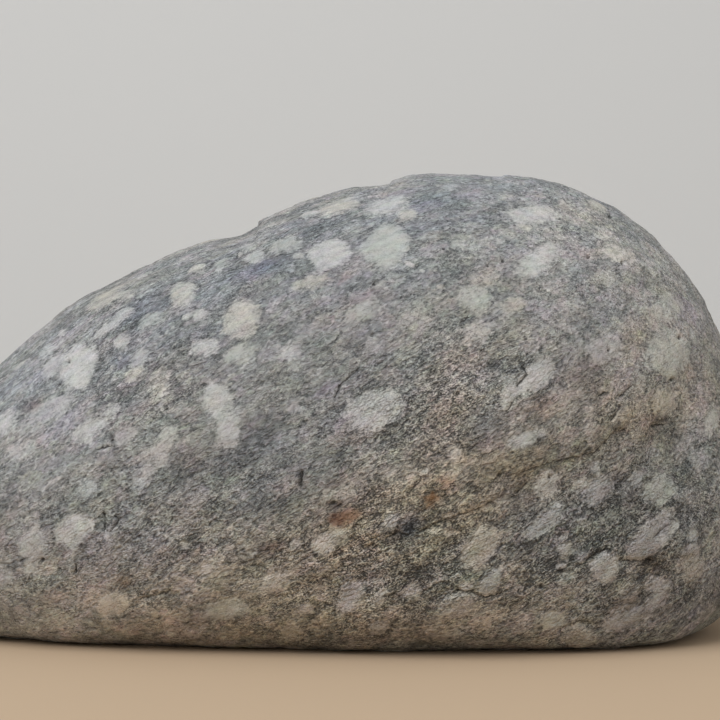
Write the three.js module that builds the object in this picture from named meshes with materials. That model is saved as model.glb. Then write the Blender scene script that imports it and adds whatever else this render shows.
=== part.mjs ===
// A water-worn river pebble of banded grey gneiss, lying on its flattest side.
// Millimetres. +X runs along the stone towards its blunt end, +Y goes away from its broad face, +Z is up.
// The origin is under the middle of the stone, on the surface that it rests on.

import * as THREE from 'three';
import { ImprovedNoise } from 'three/addons/math/ImprovedNoise.js';
import { mergeVertices } from 'three/addons/utils/BufferGeometryUtils.js';

// Driving dimensions of the whole stone
const stoneLength = 134;
const stoneDepth = 92;
const stoneHeight = 67.2;

// The solid is made of small facets, each about this wide on the finished stone
const facetWidth = 3.5;

// The upright section along the stone, as x and z, from the blunt end over the top and round underneath.
// The stretch below zero is what the stone would have been before its underside was worn flat.
const bluntEnd = stoneLength / 2;
const pointedEnd = -stoneLength / 2;
const undersideDrop = 8.5;
const lengthwiseSection = [
  [bluntEnd, 17],
  [64.7, 28],
  [60.9, 38.2],
  [57.2, 47.8],
  [50.8, 56.8],
  [41.5, 62.6],
  [30.5, 66],
  [19, stoneHeight],
  [7.5, 65.7],
  [-3, 62.1],
  [-18, 56.5],
  [-33, 49],
  [-47, 37.7],
  [-57.5, 27.6],
  [-64.6, 18],
  [pointedEnd, 10],
  [-63, 2],
  [-48, -4.5],
  [-18, -undersideDrop],
  [22, -undersideDrop],
  [50, -6.5],
  [62, 3.5],
];

// The widest part of the stone is low down, so the broad face leans back all the way up
const widestPart = { x: 6, z: 18 };
const leanBack = 0.16;

// How square the stone is across its depth: 2 is an ellipse, and more is flatter in front and behind
const crossSquareness = 2.15;

// The pointed end is thinner than the blunt one, by this share, and bends forward by this much
const pointedTaper = 0.24;
const pointedBend = 4;

// Flats that the river has ground on: the way each one faces, how far it lies from the middle of the stone,
// and the share of the stone past it that is gone. Each flat runs into the rest of the stone softly.
const groundFlats = {
  frontFoot: { faces: [-0.14, -0.85, -0.5], distance: 43.5, gone: 0.75 },
  broadFace: { faces: [-0.1, -0.9, 0.42], distance: 44.5, gone: 0.45 },
  pointedFront: { faces: [-0.7, -0.66, 0.28], distance: 52.5, gone: 0.45 },
  bluntShoulder: { faces: [0.6, -0.5, 0.62], distance: 54.5, gone: 0.4 },
  backSlope: { faces: [0.2, 0.72, 0.66], distance: 44, gone: 0.6 },
  pointedBack: { faces: [-0.62, 0.76, 0.18], distance: 52, gone: 0.6 },
  bluntBack: { faces: [0.76, 0.64, -0.08], distance: 57, gone: 0.65 },
  backFoot: { faces: [-0.14, 0.74, -0.66], distance: 41, gone: 0.8 },
  bluntFoot: { faces: [0.8, 0.1, -0.6], distance: 57, gone: 0.7 },
};
const flatSoftness = 9;
const middleOfStone = new THREE.Vector3(0, 0, 26);

// Swells, hollows and notches of the surface: the middle of each, how far it spreads along x, y and z,
// and how far it rises or sinks
const swells = {
  aboveLedge: { at: [36, -41, 33], spread: [12, 12, 11], rise: 1.2 },
  belowLedge: { at: [42, -41, 21], spread: [10, 9, 7], rise: -0.9 },
  lowOnBluntEnd: { at: [58, -24, 12], spread: [10, 10, 9], rise: 1.2 },
  inBroadFace: { at: [4, -44, 35], spread: [17, 14, 12], rise: -0.8 },
  onPointedEnd: { at: [-42, -30, 24], spread: [16, 13, 11], rise: 1 },
  chipInCrest: { at: [-12.5, 2, 58], spread: [3.8, 15, 5], rise: -1.3 },
  nickInCrest: { at: [9, 4, 65], spread: [2.6, 11, 4], rise: -0.8 },
  inBack: { at: [20, 46, 34], spread: [18, 15, 14], rise: -2 },
  onBack: { at: [-22, 42, 22], spread: [17, 15, 12], rise: 1.4 },
  behindCrest: { at: [-26, 24, 46], spread: [13, 12, 10], rise: -1.4 },
  inBluntEnd: { at: [65, 8, 26], spread: [7, 8, 7], rise: -1.1 },
  behindShoulder: { at: [46, 24, 52], spread: [8, 9, 7], rise: -1 },
};

// Ledges where a layer has broken away, as lines of x and z across the broad face.
// The stone below each line is set back by the drop, and comes out again over the fade.
const ledges = {
  main: { line: [[28.3, 24], [35.6, 26.1], [39.6, 28.9], [43, 31]], drop: 1.4, fade: 9 },
  middle: { line: [[7.5, 13.7], [15.3, 17.7], [24, 19.9]], drop: 0.9, fade: 7 },
  low: { line: [[31.5, 9.5], [38.3, 12.7], [44, 12.4], [50, 15.5]], drop: 1.1, fade: 6 },
};
const ledgeSharpness = 3.8;

// Uneven wear over the whole stone, at three widths
const unevenWear = [
  { width: 27, height: 1.4 },
  { width: 12, height: 0.7 },
  { width: 6, height: 0.25 },
];

// The rim round the flat underside is rounded off over this height
const footRounding = 3.4;

const noise = new ImprovedNoise();

// Nothing below zero and the value itself well above it, with a smooth turn between the two
function easedAboveZero(value, softness) {
  if (value <= -softness) {
    return 0;
  }
  if (value >= softness) {
    return value;
  }
  return Math.pow(value + softness, 2) / (4 * softness);
}

// A cube of small squares, blown up to a ball so that the squares stay nearly even
function evenBall() {
  const squares = (size) => 2 * Math.round(size / facetWidth / 2);
  const cube = new THREE.BoxGeometry(2, 2, 2, squares(stoneLength), squares(stoneDepth), squares(stoneHeight));
  cube.deleteAttribute('normal');
  cube.deleteAttribute('uv');
  const ball = mergeVertices(cube);
  const places = ball.getAttribute('position');
  const place = new THREE.Vector3();
  const evenly = (share) => Math.tan((share * Math.PI) / 4);
  for (let i = 0; i < places.count; i += 1) {
    place.fromBufferAttribute(places, i);
    place.set(evenly(place.x), evenly(place.y), evenly(place.z)).normalize();
    places.setXYZ(i, place.x, place.y, place.z);
  }
  return ball;
}

// The smooth shape before any wear: the lengthwise section, shrinking towards the front and the back
function roundedForm(direction, section) {
  const turn = (Math.atan2(direction.z, direction.x) / (2 * Math.PI) + 1) % 1;
  const rim = section.getPointAt(turn);
  const outwards = Math.pow(Math.hypot(direction.x, direction.z), 2 / crossSquareness);
  const depthwise = Math.sign(direction.y) * Math.pow(Math.abs(direction.y), 2 / crossSquareness);
  const x = widestPart.x + (rim.x - widestPart.x) * outwards;
  const z = widestPart.z + (rim.z - widestPart.z) * outwards;
  const towardsPoint = Math.pow(Math.max(0, x / pointedEnd), 2);
  const halfDepth = (stoneDepth / 2) * (1 - pointedTaper * towardsPoint);
  const lean = leanBack * (z - widestPart.z);
  return new THREE.Vector3(x, halfDepth * depthwise + lean - pointedBend * towardsPoint, z);
}

// What lies past a ground flat is brought back towards it
function grindFlats(place) {
  for (const { faces, distance, gone } of Object.values(groundFlats)) {
    const outward = new THREE.Vector3(...faces).normalize();
    const past = place.clone().sub(middleOfStone).dot(outward) - distance;
    place.addScaledVector(outward, -gone * easedAboveZero(past, flatSoftness));
  }
}

// How far a place is from a ledge's line, and whether it is below the line
function nearestOnLine(line, x, z) {
  let nearest = { distance: Infinity, below: false };
  for (let i = 1; i < line.length; i += 1) {
    const [startX, startZ] = line[i - 1];
    const runX = line[i][0] - startX;
    const runZ = line[i][1] - startZ;
    const along = ((x - startX) * runX + (z - startZ) * runZ) / (runX * runX + runZ * runZ);
    const share = THREE.MathUtils.clamp(along, 0, 1);
    const offX = x - startX - runX * share;
    const offZ = z - startZ - runZ * share;
    const distance = Math.hypot(offX, offZ);
    if (distance < nearest.distance) {
      nearest = { distance, below: runX * offZ < runZ * offX };
    }
  }
  return nearest;
}

function ledgeSetback(place) {
  let setback = 0;
  for (const { line, drop, fade } of Object.values(ledges)) {
    const { distance, below } = nearestOnLine(line, place.x, place.z);
    if (below && place.y < 0) {
      const step = THREE.MathUtils.smoothstep(distance, 0, ledgeSharpness);
      setback += drop * step * Math.exp(-Math.pow(distance / fade, 2));
    }
  }
  return setback;
}

function swellHeight(place) {
  let height = 0;
  for (const { at, spread, rise } of Object.values(swells)) {
    const off = place.clone().sub(new THREE.Vector3(...at)).divide(new THREE.Vector3(...spread));
    height += rise * Math.exp(-off.lengthSq());
  }
  return height;
}

function wearHeight(place) {
  let total = 0;
  for (const { width, height } of unevenWear) {
    total += height * noise.noise(place.x / width, place.y / width, place.z / width);
  }
  return total;
}

function pebbleGeometry() {
  const corners = lengthwiseSection.map(([x, z]) => new THREE.Vector3(x, 0, z));
  const section = new THREE.CatmullRomCurve3(corners, true, 'centripetal');
  const geometry = evenBall();
  const places = geometry.getAttribute('position');
  const place = new THREE.Vector3();
  for (let i = 0; i < places.count; i += 1) {
    place.fromBufferAttribute(places, i);
    const formed = roundedForm(place, section);
    grindFlats(formed);
    places.setXYZ(i, formed.x, formed.y, formed.z);
  }
  geometry.computeVertexNormals();

  const normals = geometry.getAttribute('normal');
  const outward = new THREE.Vector3();
  for (let i = 0; i < places.count; i += 1) {
    place.fromBufferAttribute(places, i);
    outward.fromBufferAttribute(normals, i);
    place.addScaledVector(outward, swellHeight(place) + wearHeight(place) - ledgeSetback(place));
    places.setXYZ(i, place.x, place.y, easedAboveZero(place.z, footRounding));
  }

  geometry.computeBoundingBox();
  const middle = geometry.boundingBox.getCenter(new THREE.Vector3());
  geometry.translate(-middle.x, -middle.y, 0);
  geometry.computeVertexNormals();
  return geometry;
}

const stoneGrey = new THREE.MeshStandardMaterial({ color: 0x8f8b85, roughness: 0.8, metalness: 0 });

const pebble = new THREE.Mesh(pebbleGeometry(), stoneGrey);
pebble.name = 'river_pebble';

const part = new THREE.Group();
part.add(pebble);

export default part;
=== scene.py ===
import math
from collections import namedtuple

import bmesh
import bpy
import numpy as np
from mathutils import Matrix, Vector


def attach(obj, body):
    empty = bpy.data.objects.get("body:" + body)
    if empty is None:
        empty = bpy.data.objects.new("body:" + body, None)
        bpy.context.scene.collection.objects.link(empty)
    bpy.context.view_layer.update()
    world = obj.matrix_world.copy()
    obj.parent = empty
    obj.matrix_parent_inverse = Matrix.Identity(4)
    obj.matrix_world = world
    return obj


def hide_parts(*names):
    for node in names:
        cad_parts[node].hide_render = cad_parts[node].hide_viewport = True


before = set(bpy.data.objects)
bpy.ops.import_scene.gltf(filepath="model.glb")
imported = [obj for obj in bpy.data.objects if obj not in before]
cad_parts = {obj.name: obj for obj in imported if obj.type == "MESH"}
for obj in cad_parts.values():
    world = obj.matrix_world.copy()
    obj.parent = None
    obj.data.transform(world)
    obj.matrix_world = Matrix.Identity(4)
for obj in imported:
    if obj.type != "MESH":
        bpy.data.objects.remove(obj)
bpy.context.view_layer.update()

mm = 0.001

# The camera
# It stands 255 mm in front of the middle of the stone, just above half its height,
# and looks nearly level at the broad face through an 85 mm lens.
camera_place = np.array([6.6, -255, 34.5])
camera_rise = 0.84
camera_lens = 85
sensor_width = 36

camera_data = bpy.data.cameras.new("camera")
camera_data.lens = camera_lens
camera_data.sensor_width = sensor_width
camera_data.clip_start = 10 * mm
camera_data.clip_end = 20
camera = bpy.data.objects.new("camera", camera_data)
camera.location = camera_place * mm
camera.rotation_euler = (math.radians(90 + camera_rise), 0, 0)
bpy.context.scene.collection.objects.link(camera)
bpy.context.scene.camera = camera

# The stone
# A river-worn pebble of augen gneiss, one natural piece: a fine grey ground of quartz, mica and feldspar,
# with pale feldspar eyes drawn out along its layers, a tan band and two rust spots.
# The river ground it round, and left ledges, cracks and pits where it broke.

# Its form is the solid's own, with the facets joined into squares and rounded off
weld_distance = 0.01 * mm
square_fold = math.radians(60)
square_slant = math.radians(70)
rounding_levels = 2


def into_scene(mesh, name):
    """Puts a mesh into the scene as an object."""
    thing = bpy.data.objects.new(name, mesh)
    bpy.context.scene.collection.objects.link(thing)
    return thing


def settle(thing):
    """Turns an object and its modifiers into a plain mesh, and removes the object."""
    graph = bpy.context.evaluated_depsgraph_get()
    mesh = bpy.data.meshes.new_from_object(thing.evaluated_get(graph), depsgraph=graph)
    bpy.data.objects.remove(thing)
    return mesh


def rounded_form(node):
    """A fine smooth mesh of a faceted solid."""
    form = bmesh.new()
    form.from_mesh(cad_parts[node].data)
    bmesh.ops.remove_doubles(form, verts=form.verts, dist=weld_distance)
    bmesh.ops.join_triangles(
        form,
        faces=form.faces,
        angle_face_threshold=square_fold,
        angle_shape_threshold=square_slant,
    )
    mesh = bpy.data.meshes.new("rounded form")
    form.to_mesh(mesh)
    form.free()
    thing = into_scene(mesh, "rounded form")
    rounding = thing.modifiers.new("rounding", "SUBSURF")
    rounding.levels = rounding_levels
    rounding.render_levels = rounding_levels
    return settle(thing)


# Everything on the broad face is placed by x and z, in mm, on the upright plane through the stone's middle,
# and carried from there along the camera's line of sight onto the surface

# Cracks and seams: the points that each runs through, how deep it is and how wide
Crack = namedtuple("Crack", "line depth width")
thin = 0.2
narrow = 0.3
open_seam = 0.45
low_seam = [(16.4, 12.8), (18.6, 14), (21.6, 15), (24.9, 16.1), (28.2, 18)]
foot_break = [(36.6, -2.3), (39.6, -1.2), (41.4, -1.4)]
corner_chip = [(50.9, 11.9), (52.6, 13.4)]
cracks = [
    Crack([(2.9, 32.7), (3.8, 34.7), (6.2, 36.8)], 0.25, thin),
    Crack([(9, 37.5), (9.9, 38)], 0.2, thin),
    Crack([(16.7, 35.6), (17.6, 36.5)], 0.2, thin),
    Crack([(13.8, 18.3), (15.6, 20.1)], 0.25, thin),
    Crack([(24.9, 37.7), (25.5, 36.8)], 0.2, thin),
    Crack([(28.8, 30.8), (29.4, 31.7)], 0.2, thin),
    Crack([(21.9, 44), (23.1, 44.9)], 0.25, thin),
    Crack([(-32.7, 24.9), (-30.6, 25.5)], 0.2, thin),
    Crack([(-31.8, 15.2), (-31.7, 12.9)], 0.4, thin),
    Crack([(-30, 14.7), (-29.6, 14.3), (-30.5, 12.8)], 0.3, thin),
    Crack([(-36, 7.5), (-36, 6.5)], 0.3, thin),
    Crack([(-26.4, 2.3), (-21.9, 3.5)], 0.25, narrow),
    Crack([(2.1, 15.8), (3.6, 16.5)], 0.35, narrow),
    Crack([(7.4, 10), (8, 10.2)], 0.25, narrow),
    Crack([(10.6, 11.6), (12.4, 12.4)], 0.2, narrow),
    Crack(low_seam, 0.3, narrow),
    Crack([(-2.1, 21.4), (-2.3, 19.4)], 0.45, narrow),
    Crack([(30.3, 18.4), (31.8, 19.9)], 0.4, narrow),
    Crack([(21.2, 3.5), (23.1, 3.5), (25.4, 2.3), (27.2, 2.9)], 0.35, narrow),
    Crack([(42.6, 33), (43.2, 33.3)], 0.25, thin),
    Crack([(45.6, 32.7), (47.4, 34.4)], 0.25, thin),
    Crack([(44.4, 29.3), (45.9, 31.5)], 0.25, thin),
    Crack([(30.6, 21.2), (32.9, 22.1), (35.9, 23), (38.9, 23.6), (41.9, 24.5)], 0.2, narrow),
    Crack([(41.9, 24.5), (43.1, 25.5), (44.9, 27.5), (46.5, 27.8)], 0.2, narrow),
    Crack([(50.9, 28.4), (52.4, 28.7)], 0.5, open_seam),
    Crack([(36.9, 15.6), (38.1, 16.5)], 0.25, thin),
    Crack(corner_chip, 0.25, thin),
    Crack(foot_break, 0.5, open_seam),
    Crack([(40.6, 8.3), (43.6, 9.9)], 0.3, narrow),
    Crack([(45.6, 8.1), (50.4, 8.1)], 0.4, open_seam),
    Crack([(31.1, 37.2), (31.7, 36.2), (30.2, 34.4)], 0.4, narrow),
]

# Pits: the place of each and how wide it is
Pit = namedtuple("Pit", "x z wide")
pit_depth = 0.45
pits = [
    Pit(19.2, 55.2, 0.6),
    Pit(28.1, 53.3, 0.6),
    Pit(25.8, 52.5, 0.5),
    Pit(8.7, 49.8, 0.5),
    Pit(8.4, 42, 0.5),
    Pit(46.1, 53, 0.6),
    Pit(41, 53.9, 0.6),
    Pit(44.3, 60, 0.7),
    Pit(44, 39.8, 0.6),
    Pit(54.6, 41.6, 0.7),
    Pit(53.4, 35.3, 0.6),
    Pit(21.2, 33.2, 0.7),
    Pit(2.6, 16.8, 1.1),
    Pit(27.6, 21, 0.8),
    Pit(35.1, 20.7, 0.8),
    Pit(33.8, 4.1, 0.7),
    Pit(-30.6, 26.3, 0.5),
    Pit(-41, 8.3, 0.6),
    Pit(-37.1, 38, 0.6),
]

# Ledges and chips: the line of each edge, how far the surface to the right of it drops, and over what
# distance it comes out again
Ledge = namedtuple("Ledge", "line drop fade")
edge_sharpness = 0.35
ledges = [
    Ledge([(30.6, 21.2), (32.9, 22.1), (35.9, 23), (38.9, 23.6), (41.9, 24.5), (44.9, 27.5)], 0.3, 2.2),
    Ledge(low_seam, 0.25, 1.8),
    Ledge(foot_break, 0.4, 1.6),
    Ledge(corner_chip, 0.25, 1.2),
    Ledge([(30.4, 38), (31.7, 36.4), (30.2, 34.2)], -0.35, 1.6),
    Ledge([(-7.5, 64), (-8.9, 57.5)], 0.45, 3),
    Ledge([(12.4, 68), (10.8, 63.5)], 0.4, 1.6),
    Ledge([(29.5, 70), (28, 65)], 0.25, 3),
]

# Edges that reach the crest run over it, back to this y, where the surface faces up at least this much
over_crest = 16
crest_upward = 0.5

# The feldspar's colours, and how clearly an eye stands out from the ground
feldspar = {
    "white": (0.46, 0.46, 0.45),
    "cream": (0.455, 0.44, 0.40),
    "sage": (0.39, 0.405, 0.38),
    "bluish": (0.41, 0.43, 0.435),
    "lilac": (0.385, 0.378, 0.385),
    "rose": (0.405, 0.38, 0.363),
    "tan": (0.365, 0.334, 0.294),
    "straw": (0.41, 0.393, 0.345),
    "rust": (0.09, 0.035, 0.02),
    "ochre": (0.14, 0.075, 0.03),
    "russet": (0.21, 0.14, 0.10),
}
bright = 0.77
clear = 0.69
soft = 0.54
faint = 0.26

# The eyes that show on the broad face, and a few tiny white flecks among them that are painted glints: place,
# length and width in mm, tilt in degrees, colour and clearness
Eye = namedtuple("Eye", "x z long wide tilt colour clearness")
eyes = [
    Eye(-20, 48.2, 4.8, 3.9, 90, "cream", clear),
    Eye(-17.9, 52.1, 2.2, 2.1, 0, "cream", clear),
    Eye(-14.1, 52.8, 3, 1.8, 30, "sage", soft),
    Eye(-35.7, 37.5, 7.5, 5.4, 75, "white", bright),
    Eye(-39.3, 37.3, 3.8, 3.4, 0, "lilac", clear),
    Eye(-40.5, 39.5, 3, 2.4, 60, "bluish", soft),
    Eye(-38, 42.5, 1.8, 1.5, 30, "white", soft),
    Eye(-31.5, 47.6, 6, 2.6, 25, "straw", clear),
    Eye(-28.2, 48.2, 2.7, 2.1, 30, "cream", soft),
    Eye(-31, 43.2, 7, 1.3, 38, "white", clear),
    Eye(-28.8, 45.2, 3, 1.9, 35, "white", clear),
    Eye(-25.2, 44, 3.3, 2.1, 30, "sage", soft),
    Eye(-26.1, 50.7, 1.8, 1.4, 20, "white", soft),
    Eye(-17.6, 45.2, 2.6, 1.9, 20, "white", clear),
    # Painted glint: a tiny white fleck standing in for a flash of light off a crystal
    Eye(-19.5, 44.7, 1.4, 0.9, 20, "white", clear),
    Eye(-11.2, 44.3, 6.3, 5.3, 70, "cream", clear),
    Eye(-16.6, 40.1, 3.9, 2.6, 15, "white", clear),
    Eye(-11.4, 39.2, 5.7, 3, 25, "sage", clear),
    Eye(-29.2, 40.9, 3, 2.2, 80, "white", clear),
    Eye(-30.5, 37.2, 0.9, 0.9, 0, "white", soft),
    Eye(-29.4, 38.6, 0.8, 0.8, 0, "white", soft),
    Eye(-26.4, 38.5, 3.2, 3, 60, "lilac", clear),
    Eye(-27.4, 36, 2.7, 2.2, 20, "cream", clear),
    Eye(-23.6, 35.2, 4.4, 3, 80, "cream", soft),
    Eye(-44.4, 37.3, 1.8, 1.5, 0, "white", clear),
    Eye(-44.4, 33.8, 2, 1.2, 20, "lilac", faint),
    Eye(2, 54.2, 6.3, 5.1, 25, "white", bright),
    Eye(10.5, 55.5, 7.5, 6.4, 60, "sage", bright),
    Eye(10.8, 61.4, 6.6, 3.3, 10, "white", clear),
    Eye(13.7, 60, 2.7, 2.1, 0, "cream", clear),
    Eye(3.3, 61.2, 6, 3.6, 20, "cream", clear),
    Eye(-0.9, 60.3, 3, 1.5, 20, "white", clear),
    Eye(-4.5, 55.5, 4.8, 2.7, 15, "sage", clear),
    Eye(-9, 53.7, 3.4, 2.6, -30, "white", bright),
    # Painted glints: the next three tiny white flecks stand in for flashes of light off crystals
    Eye(-14.6, 51.8, 1.2, 0.8, 30, "white", clear),
    Eye(-11.4, 54.3, 1, 0.8, 0, "white", clear),
    Eye(-2.7, 53.9, 1.8, 0.9, 0, "white", bright),
    Eye(-3.9, 52, 1.5, 1.5, 0, "bluish", soft),
    Eye(-10.2, 55.3, 3, 1.2, 20, "sage", clear),
    Eye(-0.9, 49.8, 6, 2.1, 12, "straw", soft),
    Eye(17.9, 57, 3.3, 1.5, 10, "tan", faint),
    Eye(21.3, 55.7, 2.1, 1.8, 0, "sage", soft),
    Eye(20.1, 64.2, 2.6, 1.4, 10, "bluish", soft),
    Eye(19.7, 62.6, 1.5, 1, 0, "bluish", faint),
    Eye(7.2, 45.6, 5.4, 3, 30, "sage", soft),
    Eye(5.4, 44.8, 2.4, 2, 30, "rose", soft),
    Eye(8.7, 40.5, 3.6, 2.7, 20, "lilac", soft),
    Eye(-3.6, 39.6, 3.2, 2.7, 70, "white", clear),
    Eye(-2.9, 37.6, 2.4, 2.1, 0, "sage", faint),
    Eye(14.9, 44.4, 5, 4.4, 50, "cream", faint),
    Eye(23.7, 47.4, 5.2, 3.9, -10, "sage", soft),
    Eye(23.9, 42.2, 4.5, 3.6, 40, "rose", soft),
    Eye(18.8, 49.2, 1.2, 0.9, 0, "cream", soft),
    Eye(32.1, 60, 8.4, 2.9, 5, "white", bright),
    Eye(29.1, 61.4, 1.5, 1, 0, "white", faint),
    Eye(31.2, 58.2, 2.4, 1.2, 0, "cream", soft),
    Eye(33.6, 53.3, 8.2, 3.4, 38, "white", bright),
    Eye(42.3, 61.5, 3, 1.5, -20, "cream", bright),
    Eye(45.3, 54.3, 5.7, 2.7, -10, "cream", soft),
    Eye(29.6, 46.4, 4, 2.4, 25, "straw", clear),
    Eye(33.2, 36, 6.2, 3.8, 38, "white", bright),
    Eye(30.1, 33.8, 5.4, 2, 18, "white", clear),
    Eye(29.1, 31.8, 3, 1.8, 50, "sage", soft),
    Eye(28.8, 35, 3, 2.1, 20, "sage", soft),
    Eye(43.2, 40.2, 6.6, 4.2, 25, "lilac", soft),
    Eye(52.7, 46, 6.3, 3.9, 40, "sage", soft),
    Eye(52.8, 39.5, 7.8, 6.9, 60, "sage", soft),
    Eye(52.5, 32, 4.5, 3.9, 70, "cream", soft),
    Eye(36.8, 62, 1.2, 0.8, 0, "white", soft),
    # Painted glints: the next two tiny white streaks stand in for flashes of light off crystals
    Eye(14, 52.6, 1.8, 0.7, -25, "white", bright),
    Eye(15.9, 51.6, 1, 0.5, -20, "white", bright),
    Eye(-39.9, 30.8, 7.2, 2.7, 25, "lilac", clear),
    Eye(-46.4, 29, 4, 3, 80, "white", clear),
    Eye(-33.9, 27.8, 5.4, 3.3, 40, "white", clear),
    Eye(-28.7, 27, 3.3, 2.4, 20, "lilac", clear),
    Eye(-30.5, 30.8, 2.6, 2.1, 80, "white", clear),
    Eye(-22.1, 26.9, 3.6, 3, 70, "sage", soft),
    Eye(-14.8, 32, 5.2, 4.6, 75, "white", clear),
    Eye(-13.2, 27.8, 6, 3.6, 80, "white", clear),
    Eye(-9.8, 30.8, 3, 2.7, 0, "sage", faint),
    Eye(-44.1, 24.5, 4.5, 3, 20, "lilac", faint),
    Eye(-24.4, 23.5, 4.8, 3.6, 30, "rose", soft),
    Eye(-26.7, 19.4, 3, 2.3, 80, "bluish", soft),
    Eye(-34.2, 19, 3.6, 3, 20, "bluish", soft),
    Eye(-39.9, 19.6, 4.2, 0.6, 38, "white", soft),
    Eye(-36.4, 12.9, 6, 4.6, 45, "white", bright),
    Eye(-36.6, 8, 3, 2.2, 60, "sage", faint),
    Eye(-42.3, 10.6, 5.1, 4.2, 70, "white", clear),
    Eye(-42.7, 7.4, 3, 2, 80, "white", soft),
    Eye(-46.5, 5.6, 3, 3, 70, "lilac", soft),
    Eye(-30.6, 12.2, 2.6, 2, 60, "lilac", soft),
    Eye(-30.4, 1.8, 5.1, 3.6, 20, "cream", clear),
    Eye(-19.7, 10.5, 2, 1.5, 20, "white", bright),
    Eye(-18.1, 9.4, 1.8, 0.8, 30, "rose", soft),
    Eye(-16.6, 7.1, 1.9, 1.6, 80, "white", clear),
    Eye(-12.4, 8.8, 1.8, 1.2, 40, "lilac", soft),
    Eye(-9.9, 9.2, 2.4, 1.2, 35, "lilac", clear),
    Eye(-6.2, 5, 4.8, 2.8, 12, "white", clear),
    Eye(-13.4, 1, 6.4, 3.2, 15, "sage", bright),
    Eye(8.6, 30.8, 8.7, 6, 25, "white", soft),
    Eye(-3.3, 31, 1.8, 1.6, 20, "lilac", clear),
    Eye(-1.4, 29.7, 1.5, 0.9, 0, "rose", faint),
    Eye(-7.5, 22.8, 2.4, 1.8, 20, "sage", faint),
    Eye(3.3, 18.2, 5.4, 2.4, 15, "sage", faint),
    Eye(19.4, 19.9, 2.2, 2, 30, "russet", soft),
    Eye(21.6, 21.3, 4, 2.6, 20, "sage", faint),
    Eye(16.4, 22, 1.5, 1.5, 0, "lilac", soft),
    Eye(12.4, 20.6, 6.4, 4.6, 45, "sage", faint),
    Eye(20.6, 24.3, 2.8, 2.2, 60, "white", soft),
    Eye(1.1, 10.5, 3.6, 3.3, -30, "white", bright),
    Eye(3, 11.7, 4, 2.6, 10, "sage", clear),
    Eye(-3, 10.7, 2.1, 1.5, 40, "white", clear),
    Eye(11, 14, 3.2, 2.2, 60, "bluish", soft),
    Eye(-9.3, 3.6, 2.4, 1.4, 30, "sage", soft),
    Eye(1.2, 6.9, 4, 1.2, 20, "rose", soft),
    Eye(5.1, 2.7, 5, 3.6, 70, "lilac", clear),
    Eye(9.2, 2.4, 3, 2, 45, "lilac", soft),
    Eye(11.1, 3.9, 2.4, 1.4, 45, "sage", faint),
    Eye(-2.1, 0.9, 3.6, 2.2, 10, "lilac", soft),
    Eye(-3.6, -2.4, 4, 3, 10, "tan", soft),
    Eye(14.3, 3.3, 3, 2.7, 30, "lilac", soft),
    Eye(21.3, 1.5, 6.6, 3.6, 15, "lilac", soft),
    Eye(22.7, 4.5, 2.7, 2, 20, "lilac", soft),
    Eye(9.3, -1.7, 3, 2.2, 20, "lilac", clear),
    Eye(17.9, -2.7, 3.9, 2.7, 10, "tan", faint),
    Eye(24.6, 10, 7.8, 4.2, 55, "cream", clear),
    Eye(19.8, 14.9, 2.6, 1.2, 20, "white", soft),
    Eye(19.2, 12.4, 4.6, 1.3, -8, "cream", soft),
    Eye(26.1, 5, 4.5, 3, 70, "bluish", clear),
    Eye(41.1, 28.7, 5.1, 2.4, 75, "lilac", faint),
    Eye(45.8, 29.7, 4.5, 2, 60, "tan", faint),
    Eye(31.6, 26.4, 6, 2.2, 22, "bluish", clear),
    Eye(34.8, 19.9, 4.4, 3.6, 60, "white", clear),
    Eye(42.3, 18.9, 5.7, 3.6, 35, "lilac", clear),
    Eye(34.6, 14.2, 8.6, 2.7, 42, "bluish", clear),
    Eye(41.9, 22.4, 2, 1.6, 60, "bluish", clear),
    Eye(39.7, 19.4, 3, 2, 40, "sage", soft),
    Eye(44.7, 22.8, 2.4, 1.8, 30, "rose", faint),
    Eye(46.4, 18.4, 2.8, 2, 60, "lilac", faint),
    Eye(48, 20.6, 2.4, 2.1, 70, "lilac", bright),
    Eye(51.5, 18.8, 5.1, 4.2, 40, "sage", clear),
    Eye(50.2, 11.6, 9.6, 4.5, 42, "lilac", clear),
    Eye(53.3, 12.8, 4, 1.4, 52, "white", bright),
    Eye(56.6, 11.9, 2, 1.7, 60, "bluish", clear),
    Eye(56, 9.9, 3, 1.6, 20, "lilac", soft),
    Eye(55.8, 17.8, 4, 3, 50, "lilac", faint),
    Eye(43.3, 7, 5, 4, 60, "white", clear),
    Eye(40, 8.9, 2, 1.8, 30, "lilac", soft),
    Eye(37.2, 12.3, 1.8, 1.3, 30, "rose", soft),
    Eye(36.9, 7.3, 1.8, 0.9, 10, "white", clear),
    Eye(37.4, 5.4, 3, 1.8, 20, "sage", soft),
    Eye(38, 1.8, 2.2, 0.9, 10, "cream", soft),
    Eye(37.4, 9.7, 2.8, 2.4, 40, "sage", clear),
    Eye(56.1, 7.4, 5.1, 4.5, 50, "tan", soft),
    Eye(51.3, 4.3, 3.9, 3.3, 20, "lilac", clear),
    Eye(50.4, 1.4, 4, 2.6, 60, "lilac", soft),
    Eye(47.1, 3.9, 3.9, 3, 60, "tan", faint),
    Eye(46.2, -0.4, 6, 3.6, 15, "lilac", clear),
    Eye(39.3, -3.5, 4.2, 3.9, 30, "tan", soft),
    Eye(35.4, -0.8, 4.5, 2.7, 10, "sage", clear),
    Eye(58.4, 0.2, 4, 2.5, 60, "tan", faint),
    Eye(57.6, 23, 3.6, 3, 30, "lilac", soft),
    Eye(55.1, 25.4, 5.4, 2.2, 50, "lilac", faint),
    Eye(59.3, 29.3, 5.1, 2, 75, "sage", clear),
    Eye(3.2, 14.4, 3, 2.3, 0, "rust", bright),
    Eye(5.4, 15, 2.8, 2.1, 30, "russet", clear),
    Eye(17.3, 17.2, 2.5, 2, 40, "ochre", bright),
]

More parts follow.
